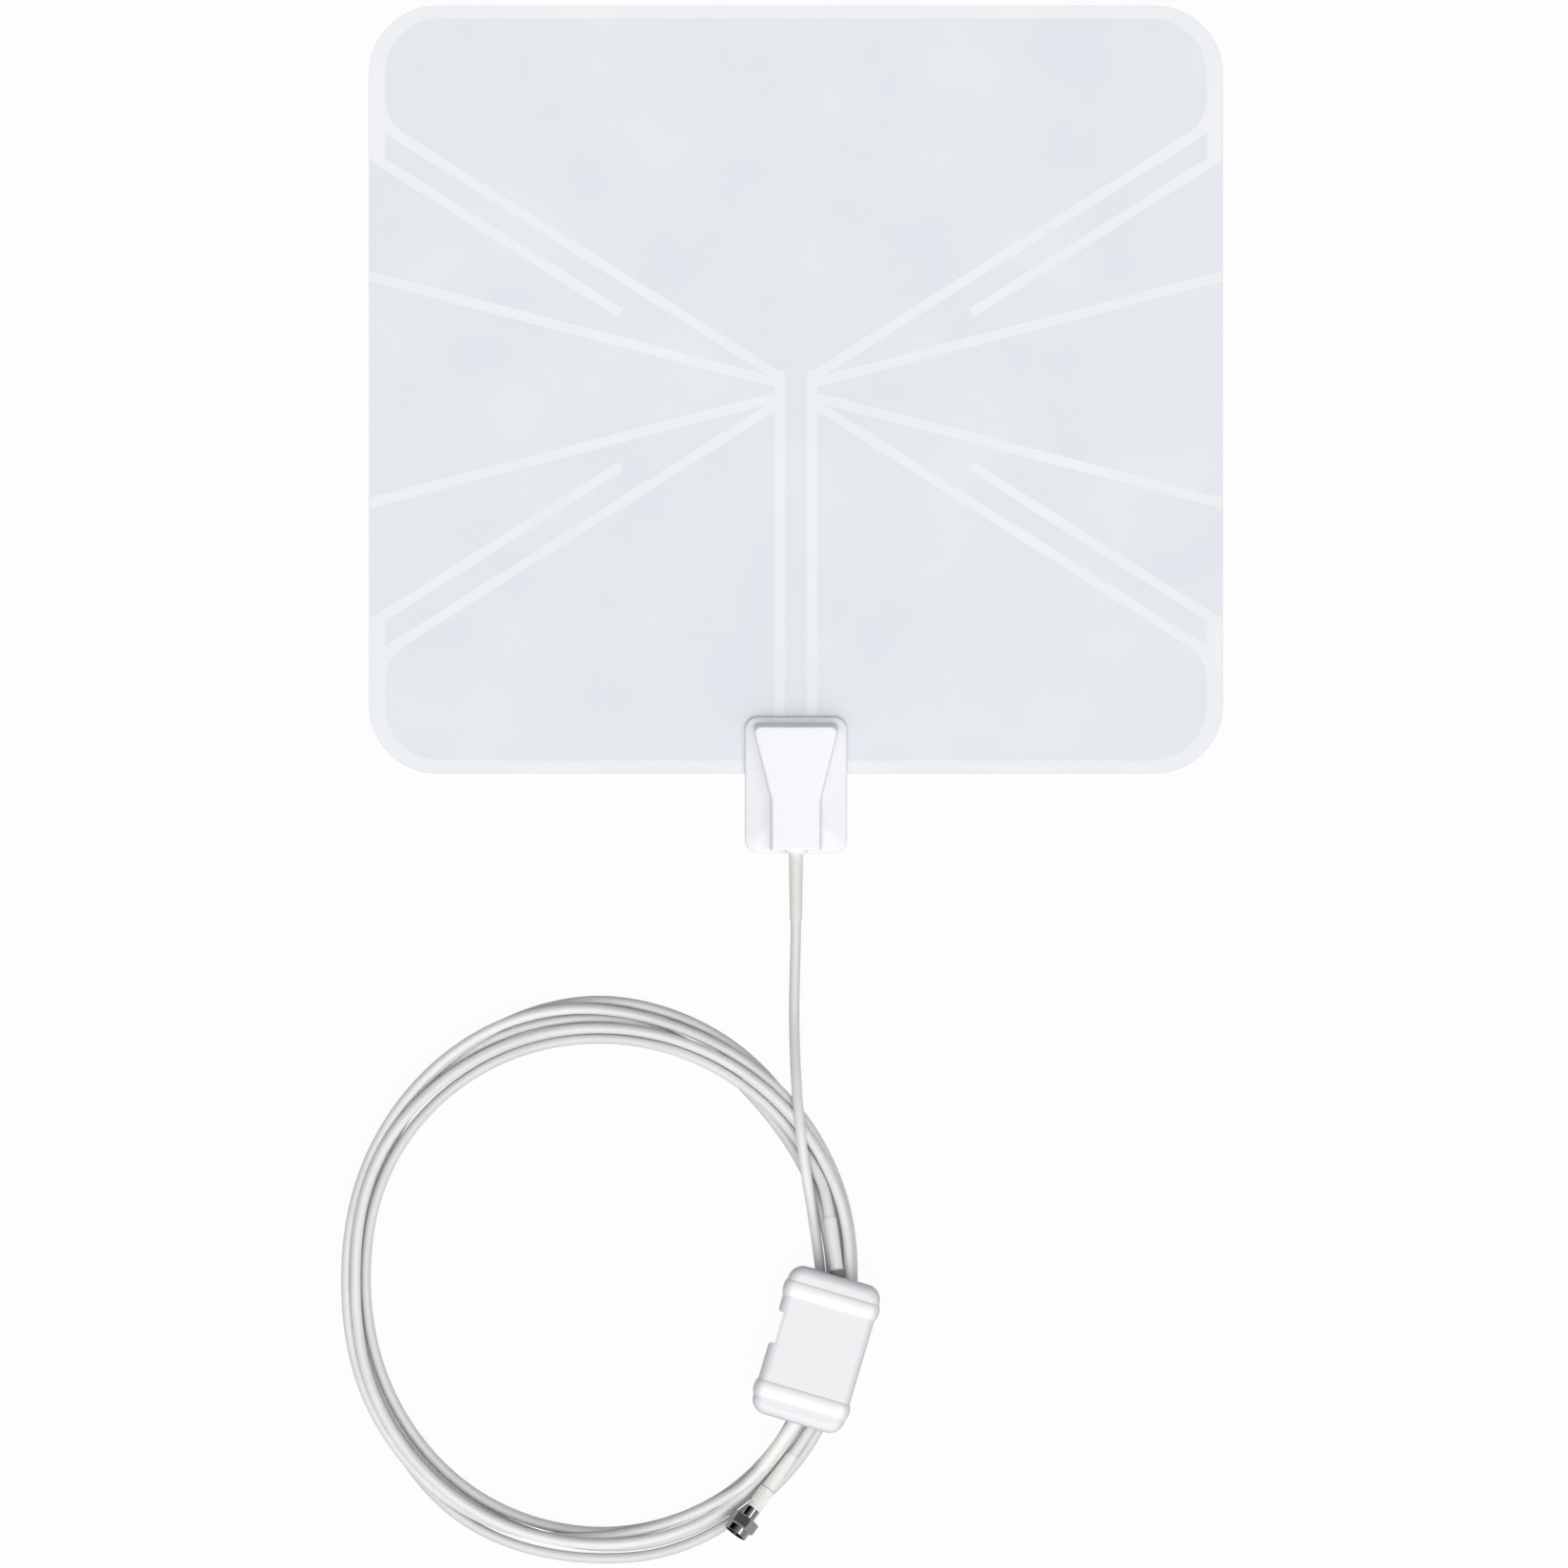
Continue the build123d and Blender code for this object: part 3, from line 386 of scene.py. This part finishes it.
FERRITE = Finish("ferrite", srgb(44, 44, 46), srgb(30, 30, 32), Surface.MATT, roughness=0.7)
NATURAL = Finish(
    "insulator", srgb(238, 236, 230), srgb(228, 226, 218), Surface.SATIN, roughness=0.45
)


@dataclass
class Wardrobe:
    """Makes each finish once and hands it to the pieces."""

    group: bpy.types.NodeTree
    made: dict[str, bpy.types.Material] = field(default_factory=dict)

    def dress(self, piece: bpy.types.Object, finish: Finish) -> None:
        """Gives a piece its finish.

        Args:
            piece: A CAD node's object or a new piece.
            finish: What it is to be finished in.
        """
        if finish.name not in self.made:
            self.made[finish.name] = finish.material(self.group)
        piece.data.materials.clear()
        piece.data.materials.append(self.made[finish.name])
        log.info("%s in %s", piece.name, finish.name)


@dataclass
class Strand:
    """One turn of a coiled cord: the travel that is drawn, and its radius keyed by travel."""

    cord: Cord
    start: int
    end: int
    keys: tuple[Key, ...]
    heights: dict[int, float] = field(default_factory=dict)

    def radius(self, travel: float) -> float:
        """Smooth radius between the keys.

        Args:
            travel: Place along the cord.

        Returns:
            Radius about the coil's centre.
        """
        keys = self.keys
        for at in range(len(keys) - 1):
            (a0, r0), (a1, r1) = keys[at], keys[at + 1]
            if a1 <= travel <= a0:
                before = keys[max(at - 1, 0)]
                after = keys[min(at + 2, len(keys) - 1)]
                span = a1 - a0
                t = (travel - a0) / span
                slope0 = (r1 - before[1]) / (a1 - before[0]) * span
                slope1 = (after[1] - r0) / (after[0] - a0) * span
                return (
                    (2 * t**3 - 3 * t**2 + 1) * r0
                    + (t**3 - 2 * t**2 + t) * slope0
                    + (3 * t**2 - 2 * t**3) * r1
                    + (t**3 - t**2) * slope1
                )
        return keys[0][1] if travel > keys[0][0] else keys[-1][1]

    def covers(self, angle: float) -> float | None:
        """Where this strand passes a clock angle, if it does.

        Args:
            angle: Clock angle about the coil's centre.

        Returns:
            The matching travel, or None.
        """
        first, last = self.keys[0][0], self.keys[-1][0]
        turns = math.floor((first - angle) / FULL_TURN)
        travel = angle + FULL_TURN * turns
        return travel if last <= travel <= first else None

    def runs_on(self, other: "Strand", apart: float) -> bool:
        """Whether another strand, so far apart in travel, is the same stretch of the same cord."""
        return other.cord is self.cord and abs(apart) < HALF_TURN

    def height(self, travel: float) -> float:
        """Height of the laid strand, between its steps.

        Args:
            travel: Place along the cord.

        Returns:
            Height of the cord's axis over the floor.
        """
        low = math.floor(travel / STEP) * STEP
        share = (travel - low) / STEP
        below = self.heights.get(low, self.heights.get(low + STEP, 0.0))
        above = self.heights.get(low + STEP, below)
        return below + (above - below) * share


@dataclass
class Coil:
    """The loose turns of both cords, laid one on another from the floor up."""

    inner: Strand = field(
        default_factory=lambda: Strand(Cord.LEAD, start=0, end=-320, keys=(
            (14, 86.6), (0, 86.8), (-10, 87.6), (-20, 89.4), (-30, 91.8), (-40, 94.4),
            (-50, 96.3), (-60, 97.8), (-75, 98.8), (-90, 99.2), (-120, 97.6), (-150, 94.2),
            (-180, 92.4), (-210, 94.8), (-240, 95.6), (-270, 95.2), (-315, 95.0), (-330, 95.4),
        ))
    )
    first: Strand = field(
        default_factory=lambda: Strand(Cord.TAIL, start=-70, end=-370, keys=(
            (-56, 97.7), (-70, 98.6), (-85, 100.2), (-100, 102.8), (-120, 105.0), (-150, 103.0),
            (-180, 99.9), (-210, 103.0), (-240, 107.2), (-255, 108.2), (-270, 106.7),
            (-285, 104.2), (-300, 103.2), (-315, 102.6), (-330, 101.4), (-345, 100.4),
            (-360, 99.0), (-370, 99.9),
        ))
    )
    second: Strand = field(
        default_factory=lambda: Strand(Cord.TAIL, start=-380, end=-730, keys=(
            (-370, 99.9), (-380, 101.4), (-390, 103.1), (-400, 105.0), (-410, 106.4),
            (-420, 107.6), (-435, 110.0), (-450, 109.4), (-480, 108.7), (-510, 101.0),
            (-540, 98.6), (-570, 101.6), (-600, 106.3), (-615, 108.9), (-630, 110.2),
            (-645, 108.4), (-660, 105.8), (-675, 102.0), (-690, 97.8), (-705, 95.6),
            (-718, 95.0), (-730, 95.6), (-740, 96.8),
        ))
    )
    third: Strand = field(
        default_factory=lambda: Strand(Cord.TAIL, start=-740, end=-1090, keys=(
            (-730, 95.6), (-740, 96.8), (-750, 98.0), (-760, 99.0), (-770, 101.2), (-780, 103.3),
            (-798, 105.4), (-840, 101.4), (-870, 97.3), (-900, 94.1), (-930, 98.2),
            (-960, 103.5), (-975, 103.9), (-990, 102.9), (-1005, 100.4), (-1020, 96.6),
            (-1035, 92.6), (-1065, 90.8), (-1080, 90.9), (-1090, 91.8),
        ))
    )
    last: Strand = field(
        default_factory=lambda: Strand(Cord.TAIL, start=-1100, end=-1470, keys=(
            (-1090, 91.8), (-1100, 93.5), (-1110, 95.0), (-1120, 96.6), (-1130, 98.8),
            (-1140, 102.0), (-1155, 103.5), (-1170, 103.7), (-1200, 103.0), (-1230, 100.1),
            (-1260, 96.2), (-1290, 99.9), (-1320, 99.9), (-1365, 99.2), (-1395, 99.4),
            (-1410, 99.6), (-1425, 99.2), (-1440, 97.4), (-1450, 97.8), (-1460, 99.1),
            (-1470, 100.5), (-1482, 102.1),
        ))
    )
    laid: list[Strand] = field(default_factory=list)

    def build(self) -> None:
        """Lays the turns, the lowest first."""
        for strand in (self.third, self.second, self.inner, self.first, self.last):
            self.lay(strand)

    def lay(self, strand: Strand) -> None:
        """Lays a strand on those below it.

        Args:
            strand: The next strand up.
        """
        top, bottom = strand.keys[0][0], strand.keys[-1][0]
        first = math.floor(top / STEP) * STEP
        last = math.ceil(bottom / STEP) * STEP
        for travel in range(last, first + STEP, STEP):
            lifts = [LEAD_RADIUS]
            for near in (-STEP, -STEP / 2, 0, STEP / 2, STEP):
                if bottom <= travel + near <= top:
                    lifts.append(self.lift(strand, travel + near))
            strand.heights[travel] = max(lifts)
        self.laid.append(strand)

    def lift(self, strand: Strand, travel: float) -> float:
        """How high the strands below hold a strand.

        Args:
            strand: The strand that is being laid.
            travel: Place along it.

        Returns:
            Height of its axis over the floor.
        """
        lift = LEAD_RADIUS
        for other in self.laid:
            below = other.covers(travel)
            if below is None or strand.runs_on(other, below - travel):
                continue
            apart = abs(strand.radius(travel) - other.radius(below))
            if apart < LEAD_DIAMETER:
                rise = math.sqrt(LEAD_DIAMETER**2 - apart**2)
                lift = max(lift, other.height(below) + rise * PRESSED)
        return lift

    def points(self, strand: Strand) -> list[Point]:
        """Control points of a laid strand.

        Args:
            strand: The strand.

        Returns:
            Points along the drawn travel, one per step.
        """
        found = []
        for travel in range(strand.start, strand.end - STEP, -STEP):
            reach = strand.radius(travel) / SPLINE_DRAW_IN
            x = COIL_CENTRE[0] + reach * math.cos(math.radians(travel))
            y = COIL_CENTRE[1] + reach * math.sin(math.radians(travel))
            found.append((x, y, strand.height(travel)))
        return found


def add_cord(name: str, points: list[Point]) -> bpy.types.Object:
    """Makes a round cord on one smooth spline.

    Args:
        name: Name of the piece.
        points: Control points.

    Returns:
        The curve object.
    """
    curve = bpy.data.curves.new(name, "CURVE")
    curve.dimensions = "3D"
    spline = curve.splines.new("NURBS")
    spline.points.add(len(points) - 1)
    for slot, (x, y, z) in zip(spline.points, points):
        slot.co = (x * MM, y * MM, z * MM, 1.0)
    spline.order_u = SPLINE_ORDER
    spline.use_endpoint_u = True
    spline.resolution_u = SPLINE_STEPS
    curve.bevel_depth = LEAD_RADIUS * MM
    curve.bevel_resolution = ROUND_STEPS
    curve.use_fill_caps = True
    made = bpy.data.objects.new(name, curve)
    bpy.context.scene.collection.objects.link(made)
    log.info("%s on %d points", name, len(points))
    return made


@dataclass
class Leads:
    """The two cords, base to amplifier and amplifier to plug: their routes and what is on them."""

    lead_route: tuple[Point, ...] = (
        (0.0, -183.1, 4.9),
        (0.0, -199.0, 4.9),
        (-0.5, -215.0, 2.7),
        (-0.75, -231.5, 2.25),
        (-0.4, -246.5, 4.8),
        (0.3, -259.5, 9.2),
        (1.1, -269.5, 11.8),
        (2.2, -280.5, 11.8),
        (3.9, -292.5, 9.6),
        (5.9, -304.5, 6.2),
        (7.3, -313.5, 4.4),
    )
    input_route: tuple[Point, ...] = (
        (4.9, -285.6, 5.4),
        (9.0, -293.2, 7.2),
        (12.08, -301.67, 9.72),
        (13.4, -310.5, 10.9),
    )
    output_route: tuple[Point, ...] = (
        (-13.4, -408.3, 10.9),
        (-18.6, -414.3, 9.9),
        (-26.2, -419.6, 7.6),
    )
    plug_route: tuple[Point, ...] = ((2.06, -399.2, 4.7), (-1.53, -403.9, 5.5))
    on_lead: tuple[str, ...] = (
        "base_strain_relief", "amp_top_cover", "amp_bottom_cover", "power_socket", "input_sleeve",
        "output_sleeve", "input_grommet", "amp_board", "amp_screws", "shield_can",
    )
    on_tail: tuple[str, ...] = (
        "plug_sleeve", "plug_grip", "plug_body", "plug_insulator", "centre_pin", "coupling_nut",
    )

    def build(self, wardrobe: Wardrobe) -> None:
        """Args:
            wardrobe: Source of the jacket's finish.
        """
        coil = Coil()
        coil.build()
        lead_points = [*self.lead_route, *coil.points(coil.inner), *self.input_route]
        lead = add_cord("antenna_lead_cord", lead_points)
        tail_points = [*self.output_route]
        for turn in (coil.first, coil.second, coil.third, coil.last):
            tail_points += coil.points(turn)
        tail = add_cord("plug_lead_cord", [*tail_points, *self.plug_route])
        for cord in (lead, tail):
            wardrobe.dress(cord, JACKET)
            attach(cord, BODY)
        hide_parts("antenna_lead", "amp_input_lead")
        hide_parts("cable_coil", "amp_output_lead")


@dataclass
class CadFinishes:
    """Which finish each CAD node takes, apart from the nodes that the cords replace."""

    chosen: dict[str, Finish] = field(
        default_factory=lambda: {
            "antenna_panel": FILM,
            "printed_element": PRINT,
            "base_front_cover": WHITE_MOULDING,
            "base_rear_cover": WHITE_MOULDING,
            "balun_board": BOARD,
            "balun_core": FERRITE,
            "feed_contacts": BRASS,
            "base_screws": STEEL,
            "base_strain_relief": BOOT,
            "amp_top_cover": COOL_MOULDING,
            "amp_bottom_cover": COOL_MOULDING,
            "input_grommet": RUBBER,
            "amp_screws": STEEL,
            "amp_board": BOARD,
            "shield_can": STEEL,
            "power_socket": STEEL,
            "input_sleeve": SLEEVE,
            "output_sleeve": SLEEVE,
            "plug_sleeve": SLEEVE,
            "plug_grip": SLEEVE,
            "plug_body": NICKEL,
            "plug_insulator": NATURAL,
            "centre_pin": BRASS,
            "coupling_nut": NICKEL,
        }
    )

    def dress(self, wardrobe: Wardrobe) -> None:
        """Finishes every CAD node that stays."""
        for name, finish in self.chosen.items():
            wardrobe.dress(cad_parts[name], finish)


@dataclass
class Lamp:
    """A far studio lamp: its strength, its width, and its tilt and swing from straight above."""

    name: str
    strength: float
    width: float
    tilt: float
    swing: float

    def hang(self) -> None:
        """Adds the lamp to the scene."""
        light = bpy.data.lights.new(self.name, "SUN")
        light.energy = self.strength
        light.color = LAMP_TINT
        light.angle = math.radians(self.width)
        holder = bpy.data.objects.new(self.name, light)
        holder.rotation_euler = (math.radians(self.tilt), 0.0, math.radians(self.swing))
        bpy.context.scene.collection.objects.link(holder)


@dataclass
class Studio:
    """White floor, soft light from the near side and a camera straight above.

    The floor's size and place are in metres. The two leans say how the sky brightens towards a
    side, for what it lights and for what reflects it.
    """

    aim: tuple[float, float] = (-4.7, -139.6)
    frame_width: float = 617.6
    lens: float = 500.0
    sensor: float = 36.0
    floor_size: float = 6.0
    floor_place: Point = (0.0, -0.14, -0.0003)
    floor_paint: Colour = (0.6, 0.6, 0.6, 1.0)
    floor_glow: float = 0.96
    sky: float = 0.1
    sky_lean: Point = (0.0, -0.52, 0.8)
    glint_lean: Point = (0.0, -1.0, 0.7)
    sky_tint: Colour = (0.965, 0.99, 1.04, 1.0)
    lamps: tuple[Lamp, ...] = (
        Lamp("broad_lamp", strength=1.01, width=50.0, tilt=22.0, swing=4.0),
        Lamp("strip_lamp", strength=0.24, width=13.0, tilt=36.0, swing=84.0),
    )

    def build(self) -> None:
        """Adds the floor, the light and the camera."""
        self.add_floor()
        self.add_light()
        self.add_camera()

    def add_floor(self) -> None:
        """Adds a floor that is white to the eye and in reflections, and keeps a soft shadow."""
        bpy.ops.object.select_all(action="DESELECT")
        bpy.ops.mesh.primitive_plane_add(size=self.floor_size, location=self.floor_place)
        floor = bpy.context.active_object
        floor.name = "studio_floor"
        made = bpy.data.materials.new("floor_white")
        made.use_nodes = True
        made.node_tree.nodes.clear()
        tree = NodeTree(made.node_tree)
        output = tree.add("ShaderNodeOutputMaterial")
        paint = tree.add("ShaderNodeBsdfDiffuse", Color=self.floor_paint)
        glow = tree.add("ShaderNodeEmission", Color=WHITE, Strength=1.0)
        path = tree.add("ShaderNodeLightPath")
        seen = tree.add("ShaderNodeMath", operation="MAXIMUM")
        mirrored = tree.add("ShaderNodeMath", operation="MAXIMUM")
        share = tree.add("ShaderNodeMath", operation="MULTIPLY")
        share.inputs[1].default_value = self.floor_glow
        blend = tree.add("ShaderNodeMixShader")
        tree.link(path.outputs["Is Camera Ray"], seen.inputs[0])
        tree.link(path.outputs["Is Glossy Ray"], seen.inputs[1])
        tree.link(seen.outputs["Value"], mirrored.inputs[0])
        tree.link(path.outputs["Is Transmission Ray"], mirrored.inputs[1])
        tree.link(mirrored.outputs["Value"], share.inputs[0])
        tree.link(share.outputs["Value"], blend.inputs["Fac"])
        tree.link(paint.outputs["BSDF"], blend.inputs[1])
        tree.link(glow.outputs["Emission"], blend.inputs[2])
        tree.link(blend.outputs["Shader"], output.inputs["Surface"])
        floor.data.materials.append(made)

    def add_light(self) -> None:
        """Adds a sky that is brighter on the near side, more so in reflections, and the lamps."""
        world = bpy.data.worlds.new("studio_sky")
        world.use_nodes = True
        tree = NodeTree(world.node_tree)
        sky = world.node_tree.nodes["Background"]
        sky.inputs["Color"].default_value = self.sky_tint
        place = tree.add("ShaderNodeTexCoord")
        path = tree.add("ShaderNodeLightPath")
        heading = tree.add("ShaderNodeMix", data_type="VECTOR")
        heading.inputs[MixIn.VECTOR_A].default_value = self.sky_lean
        heading.inputs[MixIn.VECTOR_B].default_value = self.glint_lean
        lean = tree.add("ShaderNodeVectorMath", operation="DOT_PRODUCT")
        level = tree.add("ShaderNodeMath", operation="ADD")
        level.inputs[1].default_value = self.sky
        lit = tree.add("ShaderNodeMath", operation="MAXIMUM")
        lit.inputs[1].default_value = 0.0
        tree.link(path.outputs["Is Glossy Ray"], heading.inputs["Factor"])
        tree.link(place.outputs["Generated"], lean.inputs[0])
        tree.link(heading.outputs[MixOut.VECTOR], lean.inputs[1])
        tree.link(lean.outputs["Value"], level.inputs[0])
        tree.link(level.outputs["Value"], lit.inputs[0])
        tree.link(lit.outputs["Value"], sky.inputs["Strength"])
        bpy.context.scene.world = world
        for lamp in self.lamps:
            lamp.hang()

    def add_camera(self) -> None:
        """Adds the camera above the middle of the photograph's frame."""
        view = bpy.data.cameras.new("overhead_camera")
        view.lens = self.lens
        view.sensor_width = self.sensor
        holder = bpy.data.objects.new("overhead_camera", view)
        distance = self.lens / self.sensor * self.frame_width
        holder.location = (self.aim[0] * MM, self.aim[1] * MM, distance * MM)
        bpy.context.scene.collection.objects.link(holder)
        bpy.context.scene.camera = holder
        bpy.context.scene.view_settings.view_transform = "Standard"


def main() -> None:
    """Builds the scene in order."""
    logging.basicConfig(level=logging.INFO, format="%(name)s: %(message)s")
    Studio().build()
    wardrobe = Wardrobe(surface_grain_group())
    Leads().build(wardrobe)
    CadFinishes().dress(wardrobe)


if __name__ == "__main__":
    main()
